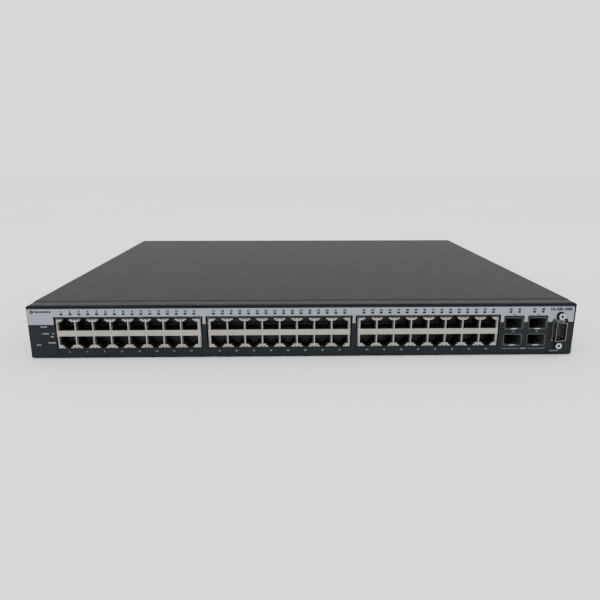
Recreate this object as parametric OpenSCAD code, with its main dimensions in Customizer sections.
// One-unit rackmount network switch: 48 stacked RJ45 ports, four SFP cages and a
// nine-pin console connector in a folded steel case.
// Millimetres. +X to the right seen from the front, +Y to the rear, +Z up.
// Origin: middle of the underside.

/* [Case] */
// Width of the case over the cover's sides
case_w = 443; // [440:0.5:445]
// Depth of the case from the front panel to the cover's rear lip
case_d = 368; // [364:1:420]
// Height of the case
case_h = 44; // [44:0.1:44.4]
// Thickness of the folded steel sheet
sheet_t = 1; // [0.8:0.1:1.2]
// Outer radius of the folds and corners of the front panel
fold_r = 1.8; // [1.4:0.1:2.2]
// Depth of the front panel's top flange that the cover leaves bare
bare_flange = 15; // [12:1:18]
// Height of the base's side flanges
base_flange_h = 13; // [11:1:16]

/* [Copper ports] */
// Distance from port to port along a row
port_pitch = 14; // [13.97:0.01:14.1]
// Distance from one jack block to the next
block_pitch = 120.6; // [120.2:0.1:121.2]
// Middle of the middle jack block along X
mid_block_x = -20.3; // [-21:0.1:-19.6]
// Width of the plug opening
port_w = 11.9; // [11.7:0.1:12]
// Height of the plug opening
port_h = 7.5; // [7.3:0.1:7.6]
// Depth of the plug opening
port_depth = 13.5; // [13:0.1:14.5]
// Height of a jack block
block_h = 26; // [25.8:0.1:26.2]
// Depth of a jack block
block_depth = 33; // [31:1:36]

/* [Uplinks and console] */
// Middle of the left pair of SFP cages along X
sfp_left_x = 170.6; // [170.3:0.1:171]
// Distance from the left pair to the right pair of cages
sfp_pitch = 19.4; // [19.2:0.1:20]
// Depth of the SFP cages
sfp_depth = 48; // [46:1:52]
// Middle of the console connector along X
console_x = 208.5; // [208.2:0.1:209]
// Distance between the console connector's jackscrews
console_screws = 24.99; // [24.8:0.01:25.2]

/* [Board] */
// Top of the main board above the underside
board_top = 8; // [7.9:0.1:8.1]
// Thickness of the main board
board_t = 1.6; // [1.2:0.1:1.8]

/* [Cooling] */
// Side of a fan's square frame
fan_size = 40; // [38:1:40]
// Thickness of a fan
fan_t = 20; // [18:1:20]
// Distance from fan to fan
fan_pitch = 52; // [46:1:56]
// Middle of the three fans along Y
fan_mid_y = -10; // [-16:1:0]
// Blades on a fan's rotor
fan_blades = 7; // [5:1:9]
// Width of a ventilation slot
slot_w = 2.4; // [2:0.1:3]
// Length of a ventilation slot
slot_l = 13; // [10:1:14]

/* [Hidden] */
$fn = 48;

hw = case_w / 2;
yf = -case_d / 2;                 // outer face of the front panel
yr = case_d / 2;                  // outer face of the cover's rear lip
t = sheet_t;
flange_z = case_h - 0.3;          // top of the front panel's flange, nearly flush with the cover
tongue_z = case_h - t - 0.1;      // top of its tongue, which steps down under the cover
rear_top = case_h - t - 0.6;      // top of the rear panel
cover_y = yf + bare_flange;       // front edge of the cover
rear_y = yr - t;                  // outer face of the rear panel
overlay_t = 0.25;
proud = 3.2;                      // how far the console's jackscrews stand out
rim_proud = 4.6;                 // how far the console's shell and the rear jackscrews stand out
jack_face = yf - 0.6;             // front face of the jack blocks
block_z = board_top + 0.1;
block_w = 8 * port_pitch + 2.8;
mid_z = block_z + block_h / 2;    // middle of the bar between the two rows
bar_h = 4.6;
window_w = block_w + 1.6;
window_z0 = block_z - 0.1;
window_z1 = block_z + block_h + 0.25;
block_x = [for (i = [-1 : 1]) mid_block_x + i * block_pitch];
sfp_x = [sfp_left_x, sfp_left_x + sfp_pitch];
sfp_z = [13.3, 27.2];             // middles of the lower and upper SFP mouths
sfp_w = 14.2;
sfp_h = 9.0;
console_z = 20.9;
led_z = 36.9;
led_w = 2.2;
led_h = 1.3;
status_led = [[-203.4, 26.3], [-203.4, 20.9], [-203.4, 15.4], [-209.6, 11.4], [-209.6, 23.6]];
uplink_led = [for (x = sfp_x) for (s = [-1, 1]) x + s * 3.5];
rear_in = rear_y - t;             // inner face of the rear panel
inlet_x = -178;
inlet_z = 21.5;
stack_x = [60, 118];
stack_z = 17.5;
rps_x = 2;
rps_z = 15.4;
reset_x = 166;
reset_z = 16;
reset_travel = 0.8;
fan_x0 = hw - t - 2.2 - fan_t;
fan_y = [for (i = [-1 : 1]) fan_mid_y + i * fan_pitch];
fan_z = 21.6;
ear_y = [yf + 24, yf + 56];
ear_z = [9.5, 34.5];
board_holes = [[-205, -128], [-205, 46], [-80, -104], [-80, 46], [40, -104], [40, 46], [180, -86], [180, 76], [180, 160], [-30, 160], [-30, 76], [205, -110]];
cover_screw_y = [-98, 84, 160];
intake_y = [-72, -24, 24, 122];

// ---- helpers ----
module bx(x0, x1, y0, y1, z0, z1) translate([x0, y0, z0]) cube([x1 - x0, y1 - y0, z1 - z0]);
// 2D shape in X and Z, extruded from y0 to y1
module along_y(y0, y1) translate([0, y1, 0]) rotate([90, 0, 0]) linear_extrude(y1 - y0) children();
// 2D shape in Y and Z, extruded from x0 to x1
module along_x(x0, x1) translate([x0, 0, 0]) rotate([90, 0, 90]) linear_extrude(x1 - x0) children();
module along_z(z0, z1) translate([0, 0, z0]) linear_extrude(z1 - z0) children();
module rr(x0, x1, y0, y1, r) {
    translate([x0 + r, y0]) square([x1 - x0 - 2 * r, y1 - y0]);
    translate([x0, y0 + r]) square([x1 - x0, y1 - y0 - 2 * r]);
    for (x = [x0 + r, x1 - r], y = [y0 + r, y1 - r]) translate([x, y]) circle(r);
}
module rod_y(x, z, y0, y1, r, fn = 32) translate([x, y0, z]) rotate([-90, 0, 0]) cylinder(r = r, h = y1 - y0, $fn = fn);
module rod_x(y, z, x0, x1, r, fn = 32) translate([x0, y, z]) rotate([0, 90, 0]) cylinder(r = r, h = x1 - x0, $fn = fn);
module rod_z(x, y, z0, z1, r, fn = 32) translate([x, y, z0]) cylinder(r = r, h = z1 - z0, $fn = fn);

// ---- case ----
module panel_blank(o, r) intersection() {
    along_y(yf + o, yf + 60) rr(-hw + o, hw - o, o, flange_z - o, r);
    along_x(-hw, hw) rr(yf + o, yf + 120, o, flange_z - o, r);
    along_z(0, case_h) rr(-hw + o, hw - o, yf + o, yf + 120, r);
}
module d_outline(w, h, slope) polygon([[-h / 2, -w / 2], [-h / 2, w / 2], [h / 2, w / 2 - slope], [h / 2, -w / 2 + slope]]);

module front_panel() color("#26282b") union() {
    front_pan();
    bx(-hw + t + 0.4, hw - t - 0.4, cover_y - 1.4, cover_y - 0.3, tongue_z - t, flange_z - t + 0.1);
    bx(-hw + t + 0.4, hw - t - 0.4, cover_y - 0.4, cover_y + 9, tongue_z - t, tongue_z);
}
module front_pan() difference() {
    panel_blank(0, fold_r);
    panel_blank(t, fold_r - t);
    bx(-hw - 1, hw + 1, cover_y - 0.2, yf + 125, -1, case_h);
    bx(-hw - 1, hw + 1, yf + 12, yf + 90, -1, 8);
    for (x = block_x) bx(x - window_w / 2, x + window_w / 2, yf - 1, yf + t + 1, window_z0, window_z1);
    for (x = sfp_x, z = sfp_z) bx(x - sfp_w / 2 - 0.8, x + sfp_w / 2 + 0.8, yf - 1, yf + t + 1, z - sfp_h / 2 - 0.8, z + sfp_h / 2 + 0.8);
    translate([console_x, 0, console_z]) along_y(yf - 1, yf + t + 1) d_outline(19.4, 10.9, 1.4);
    for (s = [-1, 1]) rod_y(console_x, console_z + s * console_screws / 2, yf - 1, yf + t + 1, 1.7);
    for (b = block_x, i = [0 : 15]) let (x = b + (i - 7.5) * port_pitch / 2)
        bx(x - led_w / 2, x + led_w / 2, yf - 1, yf + t + 1, led_z - led_h / 2, led_z + led_h / 2);
    for (x = uplink_led) bx(x - led_w / 2, x + led_w / 2, yf - 1, yf + t + 1, led_z - led_h / 2, led_z + led_h / 2);
    for (p = status_led) bx(p[0] - 1.3, p[0] + 1.3, yf - 1, yf + t + 1, p[1] - 0.7, p[1] + 0.7);
}

module chassis_base() color("#2c2e31") difference() {
    union() {
        bx(-hw + t + 0.1, hw - t - 0.1, yf + 12.1, rear_y, 0, t);
        for (s = [-1, 1]) translate([s * (hw - 1.5 * t - 0.1), 0, 0]) bx(-t / 2, t / 2, yf + 12.1, rear_y, 0, base_flange_h);
        bx(-hw + t + 0.1, hw - t - 0.1, rear_in, rear_y, 0, rear_top);
        bx(-hw + t + 6, hw - t - 6, rear_in - 11, rear_y, rear_top - t, rear_top);
    }
    // mains inlet, with its two screws
    bx(inlet_x - 14, inlet_x + 14, rear_in - 1, rear_y + 1, inlet_z - 10.4, inlet_z + 10.4);
    for (s = [-1, 1]) rod_y(inlet_x + s * 20, inlet_z, rear_in - 1, rear_y + 1, 1.7);
    // stacking sockets, with their jackscrews
    for (x = stack_x) {
        bx(x - 17.2, x + 17.2, rear_in - 1, rear_y + 1, stack_z - 5, stack_z + 5);
        for (s = [-1, 1]) rod_y(x + s * 21.5, stack_z, rear_in - 1, rear_y + 1, 1.7);
    }
    bx(rps_x - 16.6, rps_x + 16.6, rear_in - 1, rear_y + 1, rps_z - 6, rps_z + 6);
    rod_y(reset_x, reset_z, rear_in - 1, rear_y + 1, 2.1);
    // rear vent slots above the supply
    for (i = [0 : 15]) bx(-140 + i * 5, -137.6 + i * 5, rear_in - 1, rear_y + 1, 12, 30);
    // screw holes of the cover
    for (s = [-1, 1], y = cover_screw_y) rod_x(y, 7.5, min(s * (hw - 3 * t), s * (hw - t / 2)), max(s * (hw - 3 * t), s * (hw - t / 2)), 1.3);
    for (x = [-150, 0, 150]) rod_y(x, 39, rear_in - 1, rear_y + 1, 1.3);
    // lower bushes of the rack ears
    for (s = [-1, 1], y = ear_y) rod_x(y, ear_z[0], min(s * (hw - 3 * t), s * (hw - t / 2)), max(s * (hw - 3 * t), s * (hw - t / 2)), 2.25);
}

module vent_slots(y0, n, rows) for (i = [0 : n - 1], k = [0 : rows - 1])
    translate([y0 + i * slot_w * 2, 21.5 + (k - (rows - 1) / 2) * (slot_l + 3.4)]) {
        translate([-slot_w / 2, -slot_l / 2 + slot_w / 2]) square([slot_w, slot_l - slot_w]);
        for (s = [-1, 1]) translate([0, s * (slot_l - slot_w) / 2]) circle(slot_w / 2, $fn = 24);
    }
module cover_blank(o, r) intersection() {
    along_y(cover_y, yr + 10) rr(-hw + o, hw - o, -40, case_h - o, r);
    along_x(-hw - 1, hw + 1) rr(cover_y - 60, yr - o, -40, case_h - o, r);
}
module top_cover() color("#2f3134") difference() {
    cover_blank(0, 1.5);
    cover_blank(t, 0.5);
    bx(-hw - 1, hw + 1, cover_y - 1, yr + 1, -50, 0.3);
    bx(-hw + t, hw - t, yr - t - 1, yr + 1, -1, 35);
    // exhaust slots beside the fans, intake slots on the other side
    along_x(hw - t - 1, hw + 1) for (y = fan_y) vent_slots(y - 4 * 2 * slot_w, 9, 2);
    along_x(-hw - 1, -hw + t + 1) for (y = intake_y) vent_slots(y - 4 * 2 * slot_w, 9, 2);
    // rack ears, four clearance holes a side
    for (y = ear_y, z = ear_z) { rod_x(y, z, -hw - 1, -hw + t + 1, 2.25); rod_x(y, z, hw - t - 1, hw + 1, 2.25); }
    // countersunk cover screws
    for (y = cover_screw_y, s = [-1, 1]) {
        rod_x(y, 7.5, s > 0 ? hw - t - 1 : -hw - 1, s > 0 ? hw + 1 : -hw + t + 1, 1.7);
        translate([s * (hw - t), y, 7.5]) rotate([0, s * 90, 0]) cylinder(r1 = 1.7, r2 = 3.0, h = t, $fn = 32);
    }
    for (x = [-150, 0, 150]) {
        rod_y(x, 39, yr - t - 1, yr + 1, 1.7);
        translate([x, yr - t, 39]) rotate([-90, 0, 0]) cylinder(r1 = 1.7, r2 = 3.0, h = t, $fn = 32);
    }
}
module flat_screw(len, r_shank = 1.25, r_head = 2.9, head_h = 0.95) {
    // axis along +Z, head's flat face at z = 0, shank downwards
    difference() {
        union() {
            translate([0, 0, -head_h]) cylinder(r1 = r_shank + 0.35, r2 = r_head, h = head_h, $fn = 32);
            translate([0, 0, -len]) cylinder(r = r_shank, h = len - head_h + 0.01, $fn = 24);
        }
        for (a = [0, 90]) rotate([0, 0, a]) translate([-1.5, -0.25, -0.6]) cube([3, 0.5, 1]);
    }
}
// flat-head screws: nine hold the cover, two the mains inlet
module case_screws() color("#1d1e20") {
    for (y = cover_screw_y) {
        translate([hw, y, 7.5]) rotate([0, 90, 0]) flat_screw(5);
        translate([-hw, y, 7.5]) rotate([0, -90, 0]) flat_screw(5);
    }
    for (x = [-150, 0, 150]) translate([x, yr, 39]) rotate([-90, 0, 0]) flat_screw(5);
    for (s = [-1, 1]) translate([inlet_x + s * 20, rear_y + 3, inlet_z]) rotate([-90, 0, 0]) flat_screw(5);
}
// bracket behind each side of the front, with the rack ears' threaded bushes
module ear_bracket(s) difference() {
    union() {
        translate([s * (hw - t - 0.7), 0, 0]) bx(-0.6, 0.6, yf + t + 1.2, yf + 74, base_flange_h + 0.4, tongue_z - t - 0.5);
        translate([s * (hw - t - 0.1 - t - 0.7), 0, 0]) bx(-0.6, 0.6, yf + 13, yf + 74, t + 0.1, base_flange_h + 0.4);
        translate([s * (hw - t - 1.2), 0, 0]) bx(-1.1, 1.1, yf + 13, yf + 74, base_flange_h + 0.4, base_flange_h + 1.4);
        for (y = ear_y, z = ear_z) let (a = s * (hw - t - (z < base_flange_h ? 2.2 : 0.3)), b = s * (hw - t - 4.6)) rod_x(y, z, min(a, b), max(a, b), 3.1);
    }
    for (y = ear_y, z = ear_z) rod_x(y, z, min(s * (hw - t - 6), s * hw), max(s * (hw - t - 6), s * hw), 1.65);
}

module ear_brackets() color("#8d9093") { ear_bracket(-1); ear_bracket(1); }

// ---- front overlay ----
module front_overlay() color("#aab2b6") along_y(yf - overlay_t, yf) difference() {
    rr(-hw + 1.1, hw - 1.8, 1.2, 42.3, 0.9);
    for (x = block_x) translate([x - window_w / 2 - 0.3, window_z0 - 0.3]) square([window_w + 0.6, window_z1 - window_z0 + 0.4]);
    for (x = sfp_x, z = sfp_z) translate([x - sfp_w / 2 - 0.9, z - sfp_h / 2 - 0.9]) square([sfp_w + 1.8, sfp_h + 1.8]);
    translate([console_x, console_z]) d_outline(19.6, 11.1, 1.4);
    for (s = [-1, 1]) translate([console_x, console_z + s * console_screws / 2]) circle(3.4, $fn = 32);
}

// ---- main board ----
module board_outline() polygon([[-214, yf + 3], [214, yf + 3], [214, yf + 88], [188, yf + 88], [188, rear_in - 1], [-40, rear_in - 1], [-40, 58], [-214, 58]]);
module main_board() color("#1f5a3a") difference() {
    along_z(board_top - board_t, board_top) board_outline();
    for (p = board_holes) rod_z(p[0], p[1], 0, 20, 1.7);
}
module board_standoffs() color("#b9b6a8") for (p = concat(board_holes, psu_holes)) difference() {
    rod_z(p[0], p[1], t, board_top - board_t, 3.0, 6);
    rod_z(p[0], p[1], t - 1, board_top, 1.25);
}
module board_screws() color("#c8c8c4") for (p = concat(board_holes, psu_holes)) difference() {
    union() {
        rod_z(p[0], p[1], board_top, board_top + 1.9, 2.8);
        rod_z(p[0], p[1], t + 1, board_top + 0.1, 1.2);
    }
    for (a = [0, 90]) translate([p[0], p[1], board_top + 1]) rotate([0, 0, a]) translate([-1.6, -0.3, 0]) cube([3.2, 0.6, 2]);
}

// ---- stacked jacks ----
// opening of one port: plug window with the two steps of the latch channel
module port_shape(up, g = 0) scale([1, up ? 1 : -1]) polygon([
    [-port_w / 2 - g, bar_h / 2 - g], [port_w / 2 + g, bar_h / 2 - g], [port_w / 2 + g, bar_h / 2 + port_h + g],
    [3.5 + g, bar_h / 2 + port_h + g], [3.5 + g, bar_h / 2 + port_h + 1.6 + g], [2.3 + g, bar_h / 2 + port_h + 1.6 + g],
    [2.3 + g, bar_h / 2 + port_h + 2.9], [-2.3 - g, bar_h / 2 + port_h + 2.9], [-2.3 - g, bar_h / 2 + port_h + 1.6 + g],
    [-3.5 - g, bar_h / 2 + port_h + 1.6 + g], [-3.5 - g, bar_h / 2 + port_h + g], [-port_w / 2 - g, bar_h / 2 + port_h + g]]);
module port_shapes(x, g) for (i = [0 : 7], up = [true, false]) translate([x + (i - 3.5) * port_pitch, mid_z]) port_shape(up, g);
module jack_shield(x) color("#b9b5aa") difference() {
    bx(x - block_w / 2, x + block_w / 2, jack_face, jack_face + block_depth, block_z, block_z + block_h);
    bx(x - block_w / 2 + 0.3, x + block_w / 2 - 0.3, jack_face + 0.3, jack_face + block_depth - 0.3, block_z - 1, block_z + block_h - 0.3);
    along_y(jack_face - 1, jack_face + 1) port_shapes(x, 0.1);
}
// row of two-port plastic modules: a mouthpiece in front, the magnetics in a block behind
module jack_housing(x) color("#141516") for (i = [0 : 7]) let (xm = x + (i - 3.5) * port_pitch, g = 0.02, xa = xm - port_pitch / 2 + g - (i == 0 ? 0.9 : 0), xb = xm + port_pitch / 2 - g + (i == 7 ? 0.9 : 0)) {
    difference() {
        bx(xa, xb, jack_face + 0.35, jack_face + port_depth, block_z, block_z + block_h - 0.4);
        along_y(jack_face - 1, jack_face + port_depth + 1) for (up = [true, false]) translate([xm, mid_z]) port_shape(up);
    }
    bx(xa, xb, jack_face + port_depth + 0.02, jack_face + block_depth - 0.4, block_z, block_z + block_h - 0.4);
}
// eight spring contacts of a port on their carrier
module contact_set(up) scale([1, 1, up ? 1 : -1]) translate([0, 0, bar_h / 2]) {
    bx(-5.3, 5.3, jack_face + 10.6, jack_face + port_depth - 0.02, 0.02, 2.6);
    for (k = [-3.5 : 3.5]) translate([k * 1.02, jack_face + 3.2, 0.1]) rotate([12, 0, 0]) translate([-0.2, 0, 0]) cube([0.4, 8.2, 0.35]);
}
module jack_contacts() color("#c9a24a") for (x = block_x, i = [0 : 7], up = [true, false]) translate([x + (i - 3.5) * port_pitch, 0, mid_z]) contact_set(up);

// ---- SFP cages ----
module sfp_cage(x) color("#a9aaa6") difference() {
    union() {
        bx(x - sfp_w / 2 - 0.4, x + sfp_w / 2 + 0.4, yf + t + 0.4, yf + sfp_depth, board_top + 0.1, sfp_z[1] + sfp_h / 2 + 0.4);
        for (z = sfp_z) bx(x - sfp_w / 2 - 0.4, x + sfp_w / 2 + 0.4, yf - 0.4, yf + t + 1, z - sfp_h / 2 - 0.4, z + sfp_h / 2 + 0.4);
    }
    for (z = sfp_z) bx(x - sfp_w / 2, x + sfp_w / 2, yf - 2, yf + sfp_depth - 0.4, z - sfp_h / 2, z + sfp_h / 2);
    bx(x - sfp_w / 2, x + sfp_w / 2, yf + t + 0.8, yf + sfp_depth - 0.4, sfp_z[0] + sfp_h / 2 + 0.4, sfp_z[1] - sfp_h / 2 - 0.4);
    for (z = sfp_z) bx(x - 2.4, x + 2.4, yf + 1, yf + 12, z - sfp_h / 2 - 0.5, z - sfp_h / 2 + 0.1);
}
module sfp_connectors() color("#17181a") for (x = sfp_x, z = sfp_z) difference() {
    bx(x - 5.6, x + 5.6, yf + 33, yf + 42, z - 4.3, z + 1.4);
    bx(x - 4.6, x + 4.6, yf + 32, yf + 39, z - 2.5, z - 0.9);
}
// sprung tongue in the floor of each cage
module sfp_latches() color("#d6d6d0") for (x = sfp_x, z = sfp_z) translate([x, 0, z - sfp_h / 2]) {
    bx(-2.1, 2.1, yf + 1.0, yf + 11.4, -0.38, -0.05);
    bx(-2.1, 2.1, yf + 1.0, yf + 1.4, -0.38, 0.75);
}

// ---- console connector, upright ----
module console_shell() color("#9a9b98") difference() {
    union() {
        bx(console_x - 6.2, console_x + 6.2, yf + t + 0.05, yf + t + 0.95, console_z - 15.4, console_z + 15.4);
        translate([console_x, 0, console_z]) along_y(yf - rim_proud, yf + t + 0.5) d_outline(16.9, 8.4, 1.2);
        bx(console_x - 4.6, console_x + 4.6, yf + t + 0.9, yf + 11, console_z - 9.6, console_z + 9.6);
    }
    translate([console_x, 0, console_z]) along_y(yf - 6, yf + t + 0.6) d_outline(16.1, 7.6, 1.2);
    bx(console_x - 4.1, console_x + 4.1, yf + t + 0.55, yf + 12, console_z - 9.1, console_z + 9.1);
    for (s = [-1, 1]) rod_y(console_x, console_z + s * console_screws / 2, yf - 1, yf + 4, 1.6);
}
pin_pos = concat([for (i = [-2 : 2]) [-1.42, i * 2.77]], [for (i = [-1.5 : 1.5]) [1.42, i * 2.77]]);
module console_insert() color("#151617") difference() {
    union() {
        translate([console_x, 0, console_z]) along_y(yf + t - 0.3, yf + t + 0.6) d_outline(16, 7.5, 1.2);
        bx(console_x - 4.05, console_x + 4.05, yf + t + 0.6, yf + 12, console_z - 9.05, console_z + 9.05);
    }
    for (p = pin_pos) rod_y(console_x + p[0], console_z + p[1], yf - 1, yf + 13, 0.55, 24);
}
module console_pins() color("#caa64c") for (p = pin_pos) union() {
    rod_y(console_x + p[0], console_z + p[1], yf - 3.6, yf + 13.4, 0.5, 24);
    translate([console_x + p[0], yf - 3.6, console_z + p[1]]) rotate([90, 0, 0]) cylinder(r1 = 0.5, r2 = 0.25, h = 0.5, $fn = 24);
}
// hex jackscrew: head outside, threaded shank through the panel, tapped bore in front
module jackscrew(x, y_face, z, dir, len) translate([x, y_face, z]) rotate([dir > 0 ? -90 : 90, 0, 0]) difference() {
    union() {
        cylinder(r = 2.75, h = len, $fn = 6);
        translate([0, 0, -2.8]) cylinder(r = 1.4, h = 2.9, $fn = 24);
    }
    translate([0, 0, 0.2]) cylinder(r = 1.2, h = len, $fn = 24);
}
module console_jackscrews() color("#c9cac6") for (s = [-1, 1]) jackscrew(console_x, yf, console_z + s * console_screws / 2, -1, proud);

// ---- light pipes ----
// one finger: along the roof of the jacks to the panel, with a leg down to the board's light
module pipe_finger(x, y_back, w = 1.9) {
    bx(x - w / 2, x + w / 2, yf + 0.1, y_back, led_z - 0.55, led_z + 0.55);
    bx(x - w / 2, x + w / 2, y_back - 1.6, y_back, board_top + 1.2, led_z + 0.55);
}
module light_pipe(x) {
    y_back = jack_face + block_depth + 3.2;
    for (i = [0 : 15]) pipe_finger(x + (i - 7.5) * port_pitch / 2, y_back);
    bx(x - 7.5 * port_pitch / 2, x + 7.5 * port_pitch / 2, y_back - 1.4, y_back - 0.2, 28, 33);
}
module light_pipes() color("#dfe6e8") for (x = block_x) light_pipe(x);
module light_pipe_uplink() color("#dfe6e8") {
    y_back = yf + sfp_depth + 3.4;
    for (x = uplink_led) pipe_finger(x, y_back);
    bx(uplink_led[0], uplink_led[3], y_back - 1.4, y_back - 0.2, 28, 33);
}
module light_pipe_status() color("#dfe6e8") {
    for (p = status_led) {
        bx(p[0] - 1.1, p[0] + 1.1, yf + 0.1, yf + 14, p[1] - 0.5, p[1] + 0.5);
    }
    bx(-211, -202, yf + 12.4, yf + 14, board_top + 0.1, 27);
}

module indicator_leds() color("#e8e4c8") {
    for (b = block_x, i = [0 : 15]) let (x = b + (i - 7.5) * port_pitch / 2, y = jack_face + block_depth + 2.4) bx(x - 0.8, x + 0.8, y - 0.6, y + 0.6, board_top, board_top + 1.1);
    for (x = uplink_led) bx(x - 0.8, x + 0.8, yf + sfp_depth + 2, yf + sfp_depth + 3.2, board_top, board_top + 1.1);
}

// ---- chips and heatsinks ----
module chip(x, y, a, h = 2.2) bx(x - a / 2, x + a / 2, y - a / 2, y + a / 2, board_top, board_top + h);
asic = [[-62, -58], [78, -58]];
phy = [for (b = block_x, s = [-1, 1]) [b + s * 29, -122]];
module switch_chips() color("#202124") for (p = asic) chip(p[0], p[1], 37.5, 2.6);
module heatsink(p, a, h, n) {
    bx(p[0] - a / 2, p[0] + a / 2, p[1] - a / 2, p[1] + a / 2, board_top + 2.6, board_top + 6.1);
    for (i = [0 : n - 1]) let (x = p[0] - a / 2 + i * (a - 1.2) / (n - 1)) bx(x, x + 1.2, p[1] - a / 2, p[1] + a / 2, board_top + 6, board_top + 2.6 + h);
}
module switch_heatsinks() color("#8f9498") for (p = asic) heatsink(p, 62, 24, 15);
module phy_chips() color("#1e1f22") for (p = phy) chip(p[0], p[1], 27, 1.9);
module phy_heatsinks() color("#26282a") for (p = phy) {
    bx(p[0] - 12, p[0] + 12, p[1] - 12, p[1] + 12, board_top + 1.9, board_top + 4.4);
    for (i = [0 : 6]) bx(p[0] - 12 + i * 3.8, p[0] - 10.8 + i * 3.8, p[1] - 12, p[1] + 12, board_top + 4.3, board_top + 13);
}
module cpu_chip() color("#26282b") { chip(142, 40, 29, 1.2); bx(133, 151, 31, 49, board_top + 1.15, board_top + 2.2); }
module memory_chips() color("#18191b") for (i = [0 : 3]) bx(84 + (i % 2) * 16, 96 + (i % 2) * 16, 24 + floor(i / 2) * 24, 42 + floor(i / 2) * 24, board_top, board_top + 1.2);
module clock_cell() color("#c4c4be") { bx(98, 114, 74, 90, board_top, board_top + 1.4); rod_z(106, 82, board_top + 1.39, board_top + 4.4, 10, 48); }
module power_coils() color("#3a3b3f") for (i = [0 : 4]) bx(-20 + i * 20, -7 + i * 20, 92, 105, board_top, board_top + 7);
module can(x, y, z0, r, h) { rod_z(x, y, z0, z0 + h, r, 32); rod_z(x, y, z0 - 0.01, z0 + 0.8, r + 0.35, 32); }
module board_capacitors() color("#23365a") for (i = [0 : 5]) can(-14 + i * 18, 120, board_top + 0.01, 5, 14);

// ---- fans ----
module fan_frame(y) color("#1a1b1d") translate([fan_x0, y, fan_z]) rotate([90, 0, 90]) difference() {
    union() {
        difference() {
            along_z(0, fan_t) rr(-fan_size / 2, fan_size / 2, -fan_size / 2, fan_size / 2, 2.5);
            translate([0, 0, -1]) cylinder(r = fan_size / 2 - 1.1, h = fan_t + 2, $fn = 64);
        }
        cylinder(r = 10.5, h = 2.4, $fn = 48);
        cylinder(r = 3.2, h = 12, $fn = 32);
        for (a = [45 : 90 : 315]) rotate([0, 0, a]) translate([8, -1, 0]) cube([fan_size / 2 - 8, 2, 2]);
    }
    translate([0, 0, -1]) cylinder(r = 1.56, h = 14, $fn = 32);
    for (x = [-16, 16], y = [-16, 16]) translate([x, y, -1]) cylinder(r = 1.75, h = fan_t + 2, $fn = 24);
}
module fan_rotor(y) color("#111214") translate([fan_x0, y, fan_z]) rotate([90, 0, 90]) {
    difference() {
        translate([0, 0, 3.2]) cylinder(r = 10.8, h = 15.2, $fn = 48);
        translate([0, 0, 3]) cylinder(r = 9.8, h = 13.9, $fn = 48);
    }
    translate([0, 0, 1.2]) cylinder(r = 1.5, h = 16, $fn = 32);
    intersection() {
        difference() {
            translate([0, 0, 4]) cylinder(r = 18.2, h = 14, $fn = 64);
            translate([0, 0, 3]) cylinder(r = 10.4, h = 16, $fn = 48);
        }
        for (i = [0 : fan_blades - 1]) rotate([0, 0, i * 360 / fan_blades]) translate([14, 0, 11]) rotate([48, 0, 0]) translate([-5, -9.2, -0.6]) cube([11, 18.4, 1.2]);
    }
}
// plate along the side that carries the fans
fan_hole = 16;
module fan_bracket() color("#9a9da0") {
    x1 = fan_x0 + fan_t;
    difference() {
        union() {
            bx(x1, x1 + 0.9, fan_y[0] - fan_size / 2 - 6, fan_y[2] + fan_size / 2 + 6, t, fan_z + fan_size / 2 - 0.4);
            bx(x1 - 9, x1 + 0.9, fan_y[0] - fan_size / 2 - 6, fan_y[0] - fan_size / 2 - 1, t, t + 0.9);
            bx(x1 - 9, x1 + 0.9, fan_y[2] + fan_size / 2 + 1, fan_y[2] + fan_size / 2 + 6, t, t + 0.9);
        }
        for (y = fan_y) {
            rod_x(y, fan_z, x1 - 1, x1 + 2, fan_size / 2 - 1.4, 64);
            for (s = [-1, 1]) rod_x(y + s * fan_hole, fan_z + s * fan_hole, x1 - 1, x1 + 2, 1.75, 24);
        }
    }
}
// two long screws through opposite corners of each fan
module fan_screws() color("#b9bab6") for (y = fan_y, s = [-1, 1]) translate([fan_x0, y + s * fan_hole, fan_z + s * fan_hole]) rotate([0, 90, 0]) difference() {
    union() {
        translate([0, 0, -1.6]) cylinder(r = 2.7, h = 1.6, $fn = 32);
        translate([0, 0, -0.2]) cylinder(r = 1.5, h = fan_t + 1.1, $fn = 24);
    }
    for (a = [0, 90]) rotate([0, 0, a]) translate([-1.5, -0.25, -2]) cube([3, 0.5, 1.2]);
}
// four-pole stator on each fan's bearing tube
module fan_stators() color("#8a4a22") for (y = fan_y) translate([fan_x0, y, fan_z]) rotate([90, 0, 90]) difference() {
    union() {
        translate([0, 0, 4.4]) cylinder(r = 5, h = 7, $fn = 32);
        for (a = [0 : 90 : 270]) rotate([0, 0, a]) { translate([0, -2, 4.9]) cube([7, 4, 6]); translate([6.9, -3.4, 4.4]) cube([1.3, 6.8, 7]); }
    }
    translate([0, 0, 4]) cylinder(r = 3.2, h = 8, $fn = 32);
}
// three wires and a plug to the board for each fan
module fan_leads() color("#2a2a2c") for (y = fan_y) {
    for (k = [-1, 0, 1]) rod_x(y - fan_hole + k * 1.6, board_top + 3.6, 186.9, fan_x0, 0.65, 16);
    bx(181, 187, y - fan_hole - 3.6, y - fan_hole + 3.6, board_top, board_top + 6);
}
// cable bent through quarter circles: up, across and down again in the XZ plane
module hoop_wire(x0, x1, y, z0, zt, rb, r) {
    rod_z(x0, y, z0, zt - rb, r, 24);
    rod_z(x1, y, z0, zt - rb, r, 24);
    rod_x(y, zt, x0 + rb, x1 - rb, r, 24);
    translate([x0 + rb, y, zt - rb]) rotate([90, 0, 0]) rotate([0, 0, 90]) rotate_extrude(angle = 90, $fn = 32) translate([rb, 0]) circle(r, $fn = 24);
    translate([x1 - rb, y, zt - rb]) rotate([90, 0, 0]) rotate_extrude(angle = 90, $fn = 32) translate([rb, 0]) circle(r, $fn = 24);
}

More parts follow.
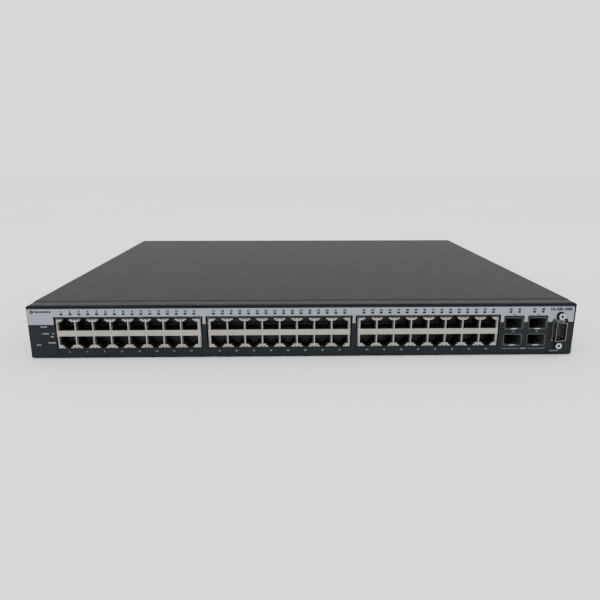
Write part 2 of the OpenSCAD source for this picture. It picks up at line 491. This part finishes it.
// ---- power supply ----
psu_z = board_top - board_t;
psu_holes = [for (x = [-203, -59], y = [75, rear_in - 8]) [x, y]];
module psu_board() color("#b89a52") difference() {
    bx(-208, -54, 70, rear_in - 3, psu_z, psu_z + 1.6);
    for (p = psu_holes) rod_z(p[0], p[1], 0, 20, 1.7);
}
// plastic sheet under the supply
module psu_insulator() color("#d8d4c6") difference() {
    bx(-212, -50, 66, rear_in - 1, t, t + 0.4);
    for (p = psu_holes) rod_z(p[0], p[1], 0, 20, 3.6);
}
module psu_transformer() color("#d9c25a") {
    bx(-128, -100, 108, 138, psu_z + 1.6, psu_z + 4.6);
    bx(-126, -102, 106, 140, psu_z + 9, psu_z + 19);
    rod_z(-114, 123, psu_z + 4.5, psu_z + 9.1, 9);
    rod_z(-114, 123, psu_z + 18.9, psu_z + 23, 9);
    bx(-128, -100, 108, 138, psu_z + 22.9, psu_z + 26);
}
module psu_heatsinks() color("#a5a8aa") for (y = [96, 152]) {
    bx(-150, -78, y - 1.2, y + 1.2, psu_z + 1.6, psu_z + 30);
    bx(-150, -78, y - 6, y + 6, psu_z + 27.6, psu_z + 30);
}
module psu_capacitors() color("#2b2c30") {
    can(-168, 108, psu_z + 1.61, 11, 27);
    can(-168, 134, psu_z + 1.61, 11, 27);
    for (i = [0 : 2]) can(-70, 104 + i * 16, psu_z + 1.61, 6, 22);
}
module psu_harness() color("#b8322a") {
    bx(-62, -56, 80, 100, psu_z + 1.6, psu_z + 10);
    bx(-37, -31, 80, 100, board_top, psu_z + 10);
    for (i = [0 : 5]) hoop_wire(-59, -34, 82 + i * 3.2, psu_z + 9.8, psu_z + 21, 5, 1.1);
}
module ac_inlet() color("#161719") difference() {
    union() {
        along_y(rear_y, rear_y + 3) translate([inlet_x, inlet_z]) rr(-25, 25, -11.2, 11.2, 3);
        bx(inlet_x - 13.6, inlet_x + 13.6, rear_y - 20, rear_y + 1, inlet_z - 10, inlet_z + 10);
    }
    along_y(rear_y - 17, rear_y + 4) translate([inlet_x, inlet_z]) polygon([[-12, -8], [12, -8], [12, 3], [7, 8], [-7, 8], [-12, 3]]);
    for (s = [-1, 1]) {
        rod_y(inlet_x + s * 20, inlet_z, rear_y - 1, rear_y + 4, 1.7);
        translate([inlet_x + s * 20, rear_y + 2, inlet_z]) rotate([-90, 0, 0]) cylinder(r1 = 1.7, r2 = 3.0, h = 1, $fn = 32);
    }
    for (p = [[-7, -2], [7, -2], [0, 2]]) bx(inlet_x + p[0] - 1.05, inlet_x + p[0] + 1.05, rear_y - 21, rear_y - 10, inlet_z + p[1] - 2.05, inlet_z + p[1] + 2.05);
}
module ac_pins() color("#c7c8c4") for (p = [[-7, -2], [7, -2], [0, 2]])
    bx(inlet_x + p[0] - 1, inlet_x + p[0] + 1, rear_y - 26, rear_y - 1.5, inlet_z + p[1] - 2, inlet_z + p[1] + 2);
module ac_wires() color("#5b3a24") for (p = [[-7, -2], [7, -2], [0, 2]]) let (x = inlet_x + p[0], z = inlet_z + p[1], y = rear_y - 30) {
    rod_y(x, z, y, rear_y - 26, 1.3, 24);
    translate([x, y, z - 4]) rotate([0, -90, 0]) rotate([0, 0, -90]) rotate_extrude(angle = 90, $fn = 32) translate([4, 0]) circle(1.3, $fn = 24);
    rod_z(x, y - 4, psu_z + 1.6, z - 4, 1.3, 24);
}

// ---- rear sockets ----
module stack_sockets() color("#8f918e") for (x = stack_x) {
    difference() {
        bx(x - 16.8, x + 16.8, rear_y - 24, rear_y + 2.4, stack_z - 4.6, stack_z + 4.6);
        bx(x - 15.8, x + 15.8, rear_y - 8, rear_y + 4, stack_z - 3.6, stack_z + 3.6);
    }
    bx(x - 13.2, x + 13.2, rear_y - 8.01, rear_y + 0.6, stack_z - 0.8, stack_z + 0.8);
    for (s = [-1, 1]) jackscrew(x + s * 21.5, rear_y, stack_z, 1, rim_proud + t);
    bx(x - 15, x + 15, rear_y - 24, rear_y - 10, board_top, stack_z - 4.6);
}
module rps_socket() color("#1b1c1e") difference() {
    union() {
        bx(rps_x - 16.2, rps_x + 16.2, rear_y - 16, rear_in - 0.3, board_top, rps_z + 5.6);
        bx(rps_x - 16.2, rps_x + 16.2, rear_in - 1, rear_y + 1.2, rps_z - 5.6, rps_z + 5.6);
    }
    for (i = [0 : 6], s = [-1, 1]) bx(rps_x + (i - 3) * 4.4 - 1.8, rps_x + (i - 3) * 4.4 + 1.8, rear_y - 10, rear_y + 2, rps_z + s * 2.3 - 1.8, rps_z + s * 2.3 + 1.8);
}
module reset_switch() color("#2b2c2f") difference() {
    bx(reset_x - 4, reset_x + 4, rear_in - 8, rear_in - 1.2, board_top, reset_z + 4);
    rod_y(reset_x, reset_z, rear_in - 5, rear_in, 1.75);
}
module reset_button() color("#b23227") {
    rod_y(reset_x, reset_z, rear_in - 4.1, rear_y - 0.6, 1.7);
}

front_panel();
chassis_base();
top_cover();
ear_brackets();
case_screws();
front_overlay();
main_board();
board_standoffs();
board_screws();
jack_shield(block_x[0]);  // jack_shield_left
jack_shield(block_x[1]);  // jack_shield_mid
jack_shield(block_x[2]);  // jack_shield_right
jack_housing(block_x[0]);  // jack_housing_left
jack_housing(block_x[1]);  // jack_housing_mid
jack_housing(block_x[2]);  // jack_housing_right
jack_contacts();
sfp_cage(sfp_x[0]);  // sfp_cage_left
sfp_cage(sfp_x[1]);  // sfp_cage_right
sfp_connectors();
sfp_latches();
console_shell();
console_insert();
console_pins();
console_jackscrews();
light_pipes();
light_pipe_uplink();
light_pipe_status();
indicator_leds();
switch_chips();
switch_heatsinks();
phy_chips();
phy_heatsinks();
cpu_chip();
memory_chips();
clock_cell();
power_coils();
board_capacitors();
fan_bracket();
fan_frame(fan_y[0]);  // fan_frame_front
fan_frame(fan_y[1]);  // fan_frame_mid
fan_frame(fan_y[2]);  // fan_frame_rear
fan_rotor(fan_y[0]);  // fan_rotor_front
fan_rotor(fan_y[1]);  // fan_rotor_mid
fan_rotor(fan_y[2]);  // fan_rotor_rear
fan_stators();
fan_screws();
fan_leads();
psu_board();
psu_insulator();
psu_transformer();
psu_heatsinks();
psu_capacitors();
psu_harness();
ac_inlet();
ac_pins();
ac_wires();
stack_sockets();
rps_socket();
reset_switch();
reset_button();
